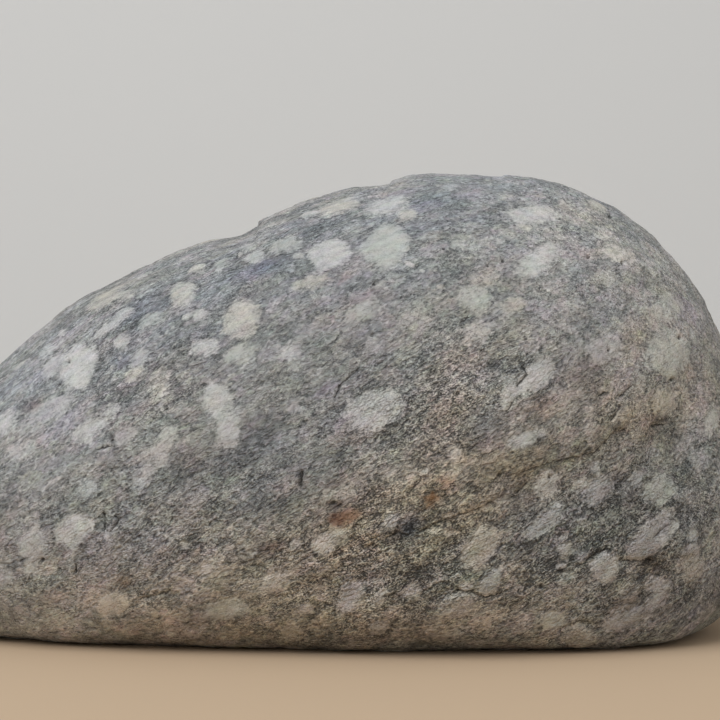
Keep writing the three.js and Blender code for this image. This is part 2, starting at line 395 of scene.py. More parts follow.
# The mesh is made finer in two steps where it has an edge, a pit or a small eye, out to these distances
# from it
fine_reaches = (1.3, 0.7)
small_eye = 1.2


def vertex_values(mesh, field, source):
    """One x, y and z for each vertex."""
    values = np.empty(len(mesh.vertices) * 3)
    source.foreach_get(field, values)
    return values.reshape(-1, 3)


def carried_to_plane(places):
    """The x and z at which the camera's lines of sight to some places cross the stone's middle plane."""
    sight = -camera_place[1] / (places[:, 1] - camera_place[1])
    x = camera_place[0] + (places[:, 0] - camera_place[0]) * sight
    z = camera_place[2] + (places[:, 2] - camera_place[2]) * sight
    return x, z


def faces_camera(places, normals):
    """Whether the surface at each place is turned towards the camera."""
    return np.einsum("ij,ij->i", normals, camera_place - places) > 0


def on_near_side(places, normals):
    """Whether each place faces the camera, or lies just over the crest from it."""
    return faces_camera(places, normals) | ((places[:, 1] < over_crest) & (normals[:, 2] > crest_upward))


def distance_to_line(x, z, line):
    """How far places are from a line of points, and on which side of it: positive is above."""
    nearest = np.full(len(x), np.inf)
    side = np.ones(len(x))
    for (start_x, start_z), (end_x, end_z) in zip(line, line[1:]):
        run_x = end_x - start_x
        run_z = end_z - start_z
        share = ((x - start_x) * run_x + (z - start_z) * run_z) / (run_x**2 + run_z**2)
        share = np.clip(share, 0, 1)
        off_x = x - start_x - run_x * share
        off_z = z - start_z - run_z * share
        distance = np.hypot(off_x, off_z)
        nearer = distance < nearest
        nearest[nearer] = distance[nearer]
        side[nearer] = np.sign(run_x * off_z - run_z * off_x)[nearer]
    return nearest, side


def made_finer(mesh):
    """Splits the faces near cracks, pits and small eyes."""
    spots = pits + [eye for eye in eyes if eye.wide < small_eye]
    for reach in fine_reaches:
        places = vertex_values(mesh, "co", mesh.vertices) / mm
        normals = vertex_values(mesh, "vector", mesh.vertex_normals)
        x, z = carried_to_plane(places)
        near = np.zeros(len(places), bool)
        for edge in cracks + ledges:
            near |= distance_to_line(x, z, edge.line)[0] < reach
        for spot in spots:
            near |= np.hypot(x - spot.x, z - spot.z) < reach + spot.wide / 2
        near &= on_near_side(places, normals)
        form = bmesh.new()
        form.from_mesh(mesh)
        split = [side for side in form.edges if all(near[corner.index] for corner in side.verts)]
        bmesh.ops.subdivide_edges(form, edges=split, cuts=1, use_grid_fill=True)
        form.to_mesh(mesh)
        form.free()
    mesh.update()
    return mesh


stone_mesh = made_finer(rounded_form("river_pebble"))
places = vertex_values(stone_mesh, "co", stone_mesh.vertices) / mm
normals = vertex_values(stone_mesh, "vector", stone_mesh.vertex_normals)
plane_x, plane_z = carried_to_plane(places)
shown = faces_camera(places, normals)
near_side = on_near_side(places, normals)

# The eyes past this stretch of x, and all those that the camera can't see, are strewn over the surface,
# as far apart and as big as the others, and drawn out along layers that rise towards the blunt end
drawn_part = (-49, 62)
layer_tilt = math.radians(33)
strewn_seed = 11
strewn_tries = 2600
strewn_widths = (1.2, 4.4)
strewn_stretch = (1.1, 2.1)
strewn_gap = 0.62
strewn_turn = 22
small_bias = 1.6
strewn_colours = ["white", "cream", "sage", "bluish", "lilac", "rose", "tan", "straw"]
strewn_clearness = [bright, clear, clear, soft, soft, faint]

# Each eye is something between an oval and a slanted box, and the rims of the wide ones are as crisp as
# those of the eyes of this width
shaping_seed = 4
eye_corners = (0.25, 0.75)
eye_skew = (-0.45, 0.45)
crisp_width = 2.8

eye_field = np.full(len(places), -1.0)
eye_colour = np.ones((len(places), 4))


def set_eye(inside, wide, colour, clearness):
    """Adds one eye to the surface, where it reaches further inside than those before it."""
    inside = np.maximum(inside * max(1, wide / crisp_width), -1)
    deeper = inside > eye_field
    eye_field[deeper] = inside[deeper]
    eye_colour[deeper] = (*feldspar[colour], clearness)


def oval_distance(along, across, tilt, long, wide, corners=0, skew=0):
    """How far places are from the middle of a tilted oval, where 1 is its rim.

    The corners, from 0 to 1, turn the oval into a box whose ends slant by the skew.
    """
    turn = math.radians(tilt)
    lengthwise = (along * math.cos(turn) + across * math.sin(turn)) / (long / 2)
    crosswise = (across * math.cos(turn) - along * math.sin(turn)) / (wide / 2)
    box = np.maximum(np.abs(lengthwise + skew * crosswise), np.abs(crosswise))
    return (1 - corners) * np.hypot(lengthwise, crosswise) + corners * box


def oval_on_face(spot, corners=0, skew=0):
    """How far the surface is from the middle of an oval on the broad face, where 1 is its rim."""
    along = plane_x - spot.x
    across = plane_z - spot.z
    return oval_distance(along, across, spot.tilt, spot.long, spot.wide, corners, skew)


shaping = np.random.default_rng(shaping_seed)
for eye in eyes:
    corners = shaping.uniform(*eye_corners)
    skew = shaping.uniform(*eye_skew)
    off = oval_on_face(eye, corners, skew)
    middle = places[np.argmin(np.where(shown, off, np.inf))]
    depthwise = (places[:, 1] - middle[1]) / eye.long
    set_eye(np.where(shown, 1 - np.hypot(off, depthwise), -1), eye.wide, eye.colour, eye.clearness)

strewn = np.random.default_rng(strewn_seed)
layer_run = np.array([math.cos(layer_tilt), 0, math.sin(layer_tilt)])
undrawn = ~shown | (plane_x < drawn_part[0]) | (plane_x > drawn_part[1])
taken = []
for candidate in strewn.choice(np.flatnonzero(undrawn), strewn_tries):
    middle = places[candidate]
    wide = strewn_widths[0] + (strewn_widths[1] - strewn_widths[0]) * strewn.random() ** small_bias
    long = wide * strewn.uniform(*strewn_stretch)
    turn = strewn.normal(0, strewn_turn)
    colour = strewn.choice(strewn_colours)
    clearness = strewn.choice(strewn_clearness)
    if any(np.linalg.norm(middle - other) < strewn_gap * (long + reach) / 2 for other, reach in taken):
        continue
    taken.append((middle, long))
    outward = normals[candidate]
    along = layer_run - outward * (layer_run @ outward)
    along /= np.linalg.norm(along)
    across = np.cross(outward, along)
    off = places - middle
    spread = oval_distance(off @ along, off @ across, turn, long, wide)
    set_eye(1 - np.hypot(spread, off @ outward / wide), wide, colour, clearness)

# Washes tint the ground softly: the layers that run right through the stone, by their height over
# the middle of the stone and thickness in mm, and the patches on the broad face, a few of which along the
# foot are painted light and shade
washes = {
    "blue": (0.80, 0.88, 1.0),
    "slate": (0.42, 0.47, 0.56),
    "dark": (0.36, 0.36, 0.36),
    "shade": (0.70, 0.715, 0.725),
    "olive": (0.68, 0.67, 0.60),
    "tan": (0.98, 0.86, 0.72),
    "brown": (0.66, 0.52, 0.38),
    "pink": (1.0, 0.82, 0.74),
    "red": (0.82, 0.66, 0.66),
    "pale": (1.35, 1.33, 1.30),
    "blush": (1.25, 1.1, 1.04),
    "rust": (0.95, 0.66, 0.45),
}
Layer = namedtuple("Layer", "height thick wash strength")
layers = [
    Layer(14, 22, "blue", 0.55),
    Layer(-27, 13, "tan", 0.5),
    Layer(-39, 13, "olive", 0.4),
    Layer(-50, 8, "brown", 0.15),
]

# The layers rise towards the blunt end and dip towards the back, by these angles
layer_rise = math.radians(25)
layer_dip = math.radians(12)

Patch = namedtuple("Patch", "x z long wide tilt wash strength")
patches = [
    Patch(-24.2, 47, 9, 4, 30, "slate", 0.45),
    Patch(-1, 57.9, 6, 3, 10, "slate", 0.55),
    Patch(-7, 52.2, 9, 3, 15, "slate", 0.5),
    Patch(19.3, 61.2, 8, 4, 10, "slate", 0.4),
    Patch(-27.4, 31.1, 3.6, 2.8, 60, "slate", 0.8),
    Patch(-29.3, 38, 3.4, 3.4, 60, "slate", 0.6),
    Patch(-42.4, 31.6, 3.4, 1.7, 15, "red", 0.9),
    Patch(-13.5, 53.4, 14, 5, 22, "slate", 0.3),
    Patch(-4.5, 53.4, 10, 4, 15, "slate", 0.45),
    Patch(-8.4, 26.7, 12, 8, 80, "slate", 0.35),
    Patch(30.6, 44.2, 5, 3, 20, "olive", 0.5),
    Patch(48.6, 42.3, 10, 5, 40, "pink", 0.5),
    Patch(41.1, 36.4, 9, 5, 30, "pink", 0.5),
    Patch(-18.9, 23.5, 5.6, 3.8, 25, "red", 0.6),
    Patch(13.4, 12.5, 5.6, 3.8, 25, "slate", 0.8),
    Patch(14.2, 13, 5.4, 3.6, 60, "slate", 1.1),
    Patch(31.3, 20.8, 5, 2.5, 20, "brown", 0.35),
    Patch(4.4, 14.6, 5.2, 3, 10, "rust", 0.7),
    Patch(17.3, 17.6, 4, 3, 40, "rust", 0.35),
    Patch(19.2, 19.8, 2.6, 2, 20, "rust", 0.3),
    Patch(-28.6, 5.1, 2.6, 1.9, 20, "brown", 0.8),
    Patch(-6.6, 10.2, 3.2, 1.2, 20, "red", 1.2),
    Patch(-2.2, 20.5, 2.8, 1.4, 85, "dark", 0.9),
    Patch(50.4, 7.5, 6, 3, 0, "brown", 0.8),
    Patch(45.6, 1.2, 5, 3, 20, "brown", 0.6),
    # Painted shade: a dark patch where the foot meets the floor
    Patch(-18.9, -0.6, 4, 2, 0, "dark", 0.6),
    Patch(52.8, 27.8, 5, 4, 30, "olive", 0.8),
    Patch(48.7, 50.3, 9, 3, -30, "dark", 0.3),
    Patch(43.5, 28.8, 12, 8, 30, "tan", 0.25),
    Patch(-17, 28, 60, 24, 26, "shade", 0.65),
    Patch(2.5, 23, 18, 9, 80, "shade", 0.8),
    Patch(-4, 16.5, 10, 7, 20, "shade", 0.8),
    Patch(20.9, 45.6, 6, 5, 20, "shade", 0.8),
    Patch(27.6, 53, 6, 6, 0, "shade", 0.5),
    Patch(30.7, 44.7, 7, 5, 30, "shade", 0.6),
    Patch(3.2, 51.2, 9, 6, 0, "shade", 0.4),
    Patch(30.8, 17.5, 8, 9, 20, "shade", 0.9),
    Patch(47.5, 19.5, 12, 10, 30, "shade", 0.65),
    Patch(-17.5, 20.5, 8, 8, 0, "shade", 0.5),
    Patch(-8.5, 27.3, 10, 6, 0, "shade", 0.6),
    Patch(37.6, 40.4, 6, 6, 0, "shade", 0.4),
    Patch(10, 23, 7, 6, 0, "shade", 0.2),
    Patch(-38.3, 23, 8, 6, 0, "shade", 0.5),
    Patch(-3.7, 14.3, 7, 5, 0, "shade", 0.35),
    Patch(44.6, 12, 9, 8, 0, "shade", 0.4),
    Patch(20.4, 9.9, 9, 6, 10, "shade", 0.4),
    Patch(17, 5.5, 6, 5, 0, "shade", 0.5),
    Patch(30.7, 48, 6, 6, 0, "shade", 0.3),
    Patch(31, 27.3, 7, 5, 0, "shade", 0.4),
    Patch(44.5, 49, 7, 5, 0, "shade", 0.3),
    Patch(47.5, 1.5, 16, 6, 20, "shade", 1.3),
    Patch(25.4, 28.6, 5, 2.8, 60, "slate", 0.6),
    Patch(4.4, 44, 26, 14, 25, "shade", 0.75),
    Patch(-46, 11.5, 12, 12, 0, "shade", 0.85),
    Patch(24, 27, 8, 5, 30, "shade", 0.5),
    Patch(37.8, 35.6, 11, 9, 30, "shade", 0.9),
    Patch(50, 22.5, 8, 4, 40, "shade", 0.3),
    Patch(38, 60, 16, 8, -20, "pale", 0.8),
    Patch(38, 61, 10, 3.4, -20, "tan", 0.35),
    Patch(3.2, 40.4, 6, 5, 0, "pale", 0.5),
    Patch(-10.5, 31.6, 7, 5, 60, "pale", 0.4),
    Patch(-30, 35, 15, 9, 0, "pale", 0.85),
    Patch(44, 54, 14, 9, -40, "pale", 0.35),
    Patch(52, 46, 10, 12, 0, "pale", 0.35),
    Patch(47, 31.5, 12, 7, 20, "pale", 0.55),
    Patch(58.5, 18.5, 5, 5, 0, "pale", 0.9),
    Patch(-15.5, 9.8, 18, 9, 15, "pale", 1.0),
    Patch(-24.5, 14.5, 7, 6, 0, "pale", 0.6),
    Patch(-24.5, 3.5, 9, 8, 0, "pale", 0.9),
    Patch(-8, 5, 16, 9, 0, "pale", 0.6),
    Patch(-41, 4, 18, 9, 0, "pale", 0.95),
    Patch(-31, 14, 8, 6, 0, "pale", 0.4),
    Patch(3.1, 9.9, 8, 5, 20, "pale", 0.5),
    Patch(16.5, 15, 24, 20, 20, "pale", 0.9),
    Patch(14, 8.5, 18, 9, 0, "pale", 0.4),
    Patch(3, 9, 9, 9, 0, "pale", 0.5),
    Patch(23, 35.5, 22, 9, 15, "pale", 0.45),
    Patch(51.5, 53, 7, 10, 30, "pale", 0.3),
    Patch(-3.7, 57.7, 14, 5, 20, "pale", 0.5),
    Patch(-20, 50.5, 26, 6, 25, "pale", 0.4),
    Patch(-38, 41, 12, 6, 40, "pale", 0.3),
    # Painted light along the foot: the next nine patches lighten, and one warms, the lowest band of the
    # stone, as light bounced up from the floor would
    Patch(-30, 1.2, 14, 5, 0, "pale", 0.9),
    Patch(5, 0.5, 38, 7, 0, "pale", 1.4),
    Patch(12.6, 0, 6, 5, 0, "pale", 0.6),
    Patch(2, -2.5, 46, 6, 0, "tan", 0.9),
    Patch(30, 0, 30, 7, 0, "pale", 1.0),
    Patch(43, -2.5, 24, 5, 5, "pale", 1.0),
    Patch(13, -3.2, 5, 2.4, 0, "pale", 1.0),
    Patch(-22, -2.6, 6, 2.4, 0, "pale", 0.6),
    Patch(-40, -2, 16, 4, 0, "pale", 0.6),
    Patch(26, 5, 16, 9, 20, "pale", 0.6),
    Patch(16, 19.5, 34, 13, 20, "tan", 0.7),
    Patch(29, 19, 14, 10, 20, "tan", 0.3),
    Patch(24.5, 14.5, 10, 4, 20, "tan", 0.5),
    Patch(19.5, 30.5, 9, 8, 20, "tan", 0.45),
    Patch(19.5, 30.5, 9, 8, 20, "pale", 0.35),
    Patch(20.9, 38.9, 6, 5, 20, "blush", 0.9),
    Patch(34.4, 31.4, 4.4, 2.4, 20, "pink", 0.9),
    Patch(43, 5.5, 12, 6, 20, "pale", 0.4),
    Patch(33, 5.5, 12, 6, 0, "pale", 0.5),
    Patch(51.5, 6, 9, 9, 0, "pale", 0.9),
    Patch(8, 7, 110, 18, 4, "pale", 0.25),
]

wash_colour = np.ones((len(places), 4))


def add_wash(share, wash):
    """Tints the surface by a wash, where its share is 1 fully and where it is 0 not at all."""
    wash_colour[:, :3] *= 1 + share[:, None] * (np.array(washes[wash]) - 1)


layer_up = np.array([-math.sin(layer_rise), math.sin(layer_dip), math.cos(layer_rise)])
middle_of_stone = np.array([0, 0, 33])
layer_height = (places - middle_of_stone) @ layer_up
for layer in layers:
    add_wash(layer.strength * np.exp(-(((layer_height - layer.height) / (layer.thick / 2)) ** 2)), layer.wash)
for patch in patches:
    add_wash(patch.strength * np.where(shown, np.exp(-(oval_on_face(patch) ** 2)), 0), patch.wash)

# How far the cracks, ledges and pits sink the surface, in mm, and where the cracks and pits darken it
crack_mask_reach = 0.8
crack_mask_slope = 1.5
crack_side = np.full(len(places), crack_mask_reach)
crack_mask = np.zeros(len(places))
sunk = np.zeros(len(places))
pit_field = np.full(len(places), -1.0)
for crack in cracks:
    distance, side = distance_to_line(plane_x, plane_z, crack.line)
    distance[~shown] = np.inf
    nearer = distance < np.abs(crack_side)
    crack_side[nearer] = (distance * side)[nearer]
    crack_mask = np.maximum(crack_mask, np.clip(crack_mask_slope * (1 - distance / crack_mask_reach), 0, 1))
    sunk = np.maximum(sunk, crack.depth * np.exp(-((distance / crack.width) ** 2)))
for ledge in ledges:
    distance, side = distance_to_line(plane_x, plane_z, ledge.line)
    past = np.clip(-distance * side / edge_sharpness, 0, 1)
    sunk += np.where(near_side, ledge.drop * past * np.exp(-distance / ledge.fade), 0)
for pit in pits:
    distance = np.where(shown, np.hypot(plane_x - pit.x, plane_z - pit.z), np.inf)
    pit_field = np.maximum(pit_field, np.clip(1 - distance / (pit.wide / 2), -1, 1))
    sunk = np.maximum(sunk, pit_depth * np.exp(-((distance / (pit.wide / 2)) ** 2)))

# How rugged the surface is: the layers stand out most low on the blunt end
least_rugged = 0.16
Rugged = namedtuple("Rugged", "x z long wide tilt strength")
rugged_places = [
    Rugged(44, 11, 46, 34, 20, 1.0),
    Rugged(12, 9, 42, 24, 10, 1.3),
    Rugged(17, 31, 36, 20, 20, 0.9),
    Rugged(49, 29, 20, 20, 0, 0.55),
    Rugged(-20, 14, 52, 26, 15, 0.55),
    Rugged(-26, 34, 26, 18, 30, 0.5),
    Rugged(-10, 54, 52, 14, 25, 0.5),
    Rugged(-32, 42, 28, 16, 40, 0.5),
]
ruggedness = np.full(len(places), least_rugged)
for spot in rugged_places:
    ruggedness = np.maximum(ruggedness, spot.strength * np.exp(-(oval_on_face(spot) ** 2)))


def keep_values(name, kind, field, values):
    """Stores a value for each vertex of the stone."""
    attribute = stone_mesh.attributes.new(name, kind, "POINT")
    attribute.data.foreach_set(field, np.ascontiguousarray(values, dtype=np.float32).ravel())


for name, values in (("feldspar", eye_colour), ("wash", wash_colour)):
    keep_values(name, "FLOAT_COLOR", "color", values)
single_values = {
    "eye": eye_field,
    "crack": crack_side,
    "crack_mask": crack_mask,
    "pit": pit_field,
    "sunk": sunk * mm,
    "rugged": ruggedness,
}
for name, values in single_values.items():
    keep_values(name, "FLOAT", "value", values)


# Its finish is a fine salt-and-pepper ground under the washes, with the eyes set into it


def linked(tree, kind, inputs=(), **settings):
    """Adds a node, sets it, and fills its inputs with values or with other nodes' outputs."""
    node = tree.nodes.new(kind)
    for name, value in settings.items():
        setattr(node, name, value)
    for socket, value in dict(inputs).items():
        if isinstance(value, bpy.types.NodeSocket):
            tree.links.new(value, node.inputs[socket])
        else:
            node.inputs[socket].default_value = value
    return node


def maths(tree, operation, *values, clamp=False):
    """One step of arithmetic."""
    node = linked(tree, "ShaderNodeMath", enumerate(values), operation=operation, use_clamp=clamp)
    return node.outputs[0]


def swung(tree, value, swing, base):
    """A base value that a noise swings up and down round the noise's middle."""
    return maths(tree, "MULTIPLY_ADD", maths(tree, "SUBTRACT", value, 0.5), swing, base)


def ramped(tree, value, low, high):
    """0 below low, 1 above high and a smooth slope between them."""
    inputs = {"Value": value, "From Min": low, "From Max": high}
    node = linked(tree, "ShaderNodeMapRange", inputs, interpolation_type="SMOOTHSTEP")
    return node.outputs["Result"]


def mixed(tree, share, first, second, blend="MIX"):
    """Two colours, mixed or multiplied."""
    node = linked(tree, "ShaderNodeMix", data_type="RGBA", blend_type=blend)
    for socket, value in zip((node.inputs[0], node.inputs[6], node.inputs[7]), (share, first, second)):
        if isinstance(value, bpy.types.NodeSocket):
            tree.links.new(value, socket)
        else:
            socket.default_value = value
    return node.outputs[2]


def per_mm(width):
    """The scale of a pattern whose features are this many mm wide, on coordinates in metres."""
    return 1 / (width * mm)


finish = bpy.data.materials.new("gneiss")
finish.use_nodes = True
tree = finish.node_tree
tree.nodes.clear()
object_place = linked(tree, "ShaderNodeTexCoord").outputs["Object"]


def layered(along, between):
    """Coordinates that stretch a pattern along the rock's layers."""
    inputs = {"Vector": object_place, "Rotation": (0, -layer_tilt, 0), "Scale": (along, between, 1)}
    return linked(tree, "ShaderNodeMapping", inputs, vector_type="TEXTURE").outputs["Vector"]


even_grain = layered(1.6, 1.2)
drawn_out = layered(2.4, 1.6)


def noise(width, vector=even_grain, detail=1.0, rough=0.6):
    """Cloudy noise with features of one width."""
    inputs = {"Vector": vector, "Scale": per_mm(width), "Detail": detail, "Roughness": rough}
    return linked(tree, "ShaderNodeTexNoise", inputs).outputs


def read(name, output="Fac"):
    """A value stored on the mesh."""
    return linked(tree, "ShaderNodeAttribute", attribute_name=name).outputs[output]


def moved(vector, cloud, reach):
    """Coordinates pushed about by a noise, so that even patterns come out uneven."""
    inputs = {0: cloud, 1: (0.5, 0.5, 0.5)}
    push = linked(tree, "ShaderNodeVectorMath", inputs, operation="SUBTRACT").outputs["Vector"]
    inputs = {0: push, 1: (reach * mm,) * 3, 2: vector}
    return linked(tree, "ShaderNodeVectorMath", inputs, operation="MULTIPLY_ADD").outputs["Vector"]


uneven = layered(1.7, 1.4)
uneven = moved(uneven, noise(1.1, uneven, detail=2.0)["Color"], 1.6)

# How wide the patterns of the ground are, in mm
fine_width = 0.17
crystal_width = 0.3
grain_width = 0.4
coarse_width = 1.0
blotch_width = 2.2
cloud_width = 4.5
band_width = 9
large_width = 4.6
lesser_width = 2.1
small_width = 1.0


def lumps(width, least, most, rim):
    """Rounded crystals packed into the ground: how far inside one each point is, and its own tint."""
    cells = linked(tree, "ShaderNodeTexVoronoi", {"Vector": uneven, "Scale": per_mm(width)}).outputs
    kind = linked(tree, "ShaderNodeSeparateColor", {"Color": cells["Color"]}).outputs["Red"]
    reach = maths(tree, "MULTIPLY_ADD", kind, most - least, least)
    past = maths(tree, "SUBTRACT", cells["Distance"], reach)
    return ramped(tree, past, rim, -rim), cells["Color"]


def short_lines(width, vector, half_width, gate_low, gate_high):
    """Thin crooked lines along the middle of one noise, where another noise lets them show."""
    off = maths(tree, "ABSOLUTE", maths(tree, "SUBTRACT", noise(width, vector, detail=1.0)["Fac"], 0.5))
    gate = ramped(tree, noise(width * 0.9, vector)["Fac"], gate_low, gate_high)
    return maths(tree, "MULTIPLY", ramped(tree, off, half_width, half_width * 0.3), gate)


# Its grains, blotches, clouds and bands, its dark and light crystals, and its lumps in three sizes
fine_grain = noise(fine_width, detail=1.5, rough=0.7)["Fac"]
grain = noise(grain_width, detail=1.0)["Fac"]
coarse_grain = noise(coarse_width, detail=2.0)["Fac"]
blotches = noise(blotch_width, drawn_out, detail=2.0)["Fac"]
clouds = noise(cloud_width, drawn_out, detail=2.0)
bands = noise(band_width, drawn_out, detail=1.0)["Fac"]
inputs = {"Vector": even_grain, "Scale": per_mm(crystal_width)}
crystals = linked(tree, "ShaderNodeTexVoronoi", inputs).outputs["Color"]
crystal_kind = linked(tree, "ShaderNodeSeparateColor", {"Color": crystals}).outputs["Red"]
dark_crystals = ramped(tree, crystal_kind, 0.16, 0.08)
light_crystals = ramped(tree, crystal_kind, 0.82, 0.92)

large_lumps, large_tint = lumps(large_width, least=-0.1, most=0.75, rim=0.14)
lesser_lumps, lesser_tint = lumps(lesser_width, least=0.0, most=0.8, rim=0.12)
small_lumps, small_tint = lumps(small_width, least=0.1, most=0.8, rim=0.14)
lump_share = lesser_lumps
for lump, share in ((large_lumps, 0.75), (small_lumps, 0.7)):
    lump_share = maths(tree, "MAXIMUM", lump_share, maths(tree, "MULTIPLY", lump, share))

# Grooves between the lumps of the layers, and short slits; the ground is darkened along both as painted shade
rugged = read("rugged")
painted_groove_shade = maths(tree, "MULTIPLY", read("painted_groove_shade"), rugged)
wide_slits = short_lines(1.1, layered(2.2, 1.4), half_width=0.075, gate_low=0.52, gate_high=0.6)
small_slits = short_lines(0.6, layered(1.8, 1.3), half_width=0.12, gate_low=0.48, gate_high=0.6)
slits = maths(tree, "MAXIMUM", wide_slits, small_slits)
slits = maths(tree, "MULTIPLY", slits, maths(tree, "MULTIPLY_ADD", rugged, 0.8, 0.2), clamp=True)

# The eyes' outlines: the clearer an eye is, the crisper its rim and the less ragged it is
clearness = read("feldspar", "Alpha")
solid = maths(tree, "MULTIPLY_ADD", rugged, -0.45, ramped(tree, clearness, 0.4, 0.95), clamp=True)
raggedness = maths(tree, "MULTIPLY_ADD", solid, -0.5, 1.0)
wander = swung(tree, blotches, 0.7, swung(tree, coarse_grain, 0.8, swung(tree, grain, 0.8, 0.0)))
ragged = maths(tree, "MULTIPLY_ADD", wander, raggedness, read("eye"))
half_rim = maths(tree, "MULTIPLY_ADD", clearness, -0.26, 0.46)
eye_inside = ramped(tree, ragged, maths(tree, "MULTIPLY", half_rim, -1.0), half_rim)
dark_rim = maths(tree, "SUBTRACT", ramped(tree, ragged, -0.65, -0.2), eye_inside, clamp=True)
dark_rim = maths(tree, "MULTIPLY", dark_rim, maths(tree, "MULTIPLY_ADD", rugged, 0.6, 0.4))

# The ground's brightness: each pattern swings it up and down, and each mark lightens or darkens it; the
# darkening along the slits and grooves is painted shade
speckled_patches = ramped(tree, noise(3.4, drawn_out)["Fac"], 0.38, 0.60)
fine_swing = 0.05
for mark, change in ((speckled_patches, 0.8), (rugged, 2.5), (lump_share, -0.7)):
    fine_swing = maths(tree, "MULTIPLY_ADD", mark, change, fine_swing)
grain_swing = maths(tree, "MULTIPLY_ADD", rugged, 0.4, 0.55)
ground_value = 0.475
ground_swings = (
    (fine_grain, fine_swing),
    (grain, grain_swing),
    (coarse_grain, 0.36),
    (clouds["Fac"], 0.28),
    (bands, 0.2),
)
for pattern, swing in ground_swings:
    ground_value = swung(tree, pattern, swing, ground_value)
ground_marks = (
    (lump_share, 0.2),
    (dark_crystals, -0.2),
    (light_crystals, 0.14),
    (slits, -0.3),
    (painted_groove_shade, -0.3),
    (dark_rim, -0.13),
)
for mark, change in ground_marks:
    ground_value = maths(tree, "MULTIPLY_ADD", mark, change, ground_value)

ground_ramp = linked(tree, "ShaderNodeValToRGB", {"Fac": ground_value})
ground_stops = [
    (0.0, (0.05, 0.052, 0.055)),
    (0.28, (0.127, 0.132, 0.135)),
    (0.5, (0.231, 0.236, 0.235)),
    (0.74, (0.373, 0.38, 0.375)),
    (1.0, (0.55, 0.56, 0.55)),
]
while len(ground_ramp.color_ramp.elements) < len(ground_stops):
    ground_ramp.color_ramp.elements.new(0.5)
for stop, (position, colour) in zip(ground_ramp.color_ramp.elements, ground_stops):
    stop.position = position
    stop.color = (*colour, 1)


def tinted(tree, colour, cloud, swing):
    """A colour whose hue wanders with a noise."""
    inputs = {0: cloud, 1: (swing,) * 3, 2: (1 - swing / 2,) * 3}
    tint = linked(tree, "ShaderNodeVectorMath", inputs, operation="MULTIPLY_ADD").outputs["Vector"]
    return mixed(tree, 1.0, colour, tint, "MULTIPLY")


ground = tinted(tree, ground_ramp.outputs["Color"], noise(0.7)["Color"], 0.1)
ground = tinted(tree, ground, clouds["Color"], 0.12)
warm_share = ramped(tree, noise(2.8, drawn_out)["Fac"], 0.3, 0.7)
cool_stain = (0.985, 1.0, 1.012, 1)
warm_stain = (1.02, 1.0, 0.965, 1)
stain = mixed(tree, warm_share, cool_stain, warm_stain)
ground = mixed(tree, 1.0, ground, stain, "MULTIPLY")
for share, tint in ((large_lumps, large_tint), (lesser_lumps, lesser_tint), (small_lumps, small_tint)):
    ground = mixed(tree, share, ground, tinted(tree, ground, tint, 0.07))
ground = mixed(tree, 1.0, ground, read("wash", "Color"), "MULTIPLY")

# The eyes' own colour, and how far it covers the ground
eye_share = maths(tree, "MULTIPLY", eye_inside, clearness)
core = maths(tree, "MULTIPLY_ADD", ramped(tree, ragged, 0.0, 0.9), 0.35, 0.72)
eye_share = maths(tree, "MULTIPLY", eye_share, core)
speckles = swung(tree, fine_grain, 1.3, swung(tree, coarse_grain, 1.0, 0.0))
speckled = maths(tree, "MULTIPLY_ADD", speckles, raggedness, 1.0)
eye_share = maths(tree, "MULTIPLY", eye_share, speckled, clamp=True)
eye_grain = swung(tree, coarse_grain, 0.7, swung(tree, fine_grain, 0.7, 0.0))
eye_grain = maths(tree, "MULTIPLY_ADD", eye_grain, raggedness, 1.0)
eye_body = tinted(tree, read("feldspar", "Color"), noise(1.6, detail=2.0)["Color"], 0.2)
eye_body = mixed(tree, 1.0, eye_body, eye_grain, "MULTIPLY")
eye_wash = mixed(tree, 0.4, (1, 1, 1, 1), read("wash", "Color"))
eye_body = mixed(tree, 1.0, eye_body, eye_wash, "MULTIPLY")
body = mixed(tree, eye_share, ground, eye_body)

# Cracks and pits are painted dark inside: painted shade in their narrow hollows
crack_and_pit_shade = (0.022, 0.02, 0.018, 1)
crack_line = maths(tree, "ABSOLUTE", swung(tree, grain, 0.7, read("crack")))
broken = ramped(tree, coarse_grain, 0.36, 0.52)
crack_cut = maths(tree, "MULTIPLY", ramped(tree, crack_line, 0.17, 0.03), read("crack_mask"))
crack_cut = maths(tree, "MULTIPLY", crack_cut, maths(tree, "MULTIPLY_ADD", broken, 0.6, 0.4))
pit_cut = ramped(tree, swung(tree, grain, 1.5, read("pit")), 0.05, 0.7)
cut = maths(tree, "MAXIMUM", crack_cut, pit_cut)
body = mixed(tree, maths(tree, "MULTIPLY", cut, 0.75), body, crack_and_pit_shade)

# What is finer than the mesh is a bump: grains, slits, and the rims of lumps and eyes
bump_height = 0.16 * mm
smoothness = maths(tree, "MULTIPLY_ADD", eye_share, -0.75, 1.0)
relief = maths(tree, "MULTIPLY_ADD", grain, 1.6, fine_grain)
relief = maths(tree, "MULTIPLY", relief, maths(tree, "MULTIPLY_ADD", rugged, 3.0, 0.5))
relief = maths(tree, "MULTIPLY_ADD", coarse_grain, maths(tree, "MULTIPLY_ADD", rugged, 1.6, 0.6), relief)
relief = maths(tree, "MULTIPLY_ADD", slits, -1.8, relief)
relief = maths(tree, "MULTIPLY", relief, smoothness)
for mark, change in ((lump_share, 0.3), (eye_share, 0.35), (cut, -1.0)):
    relief = maths(tree, "MULTIPLY_ADD", mark, change, relief)
bump = linked(tree, "ShaderNodeBump", {"Height": relief, "Distance": bump_height, "Strength": 1.0})

inputs = {
    "Base Color": body,
    "Roughness": swung(tree, grain, 0.5, 0.72),
    "Specular IOR Level": 0.35,
    "Normal": bump.outputs["Normal"],
}
surface = linked(tree, "ShaderNodeBsdfPrincipled", inputs)
linked(tree, "ShaderNodeOutputMaterial", {"Surface": surface.outputs["BSDF"]})


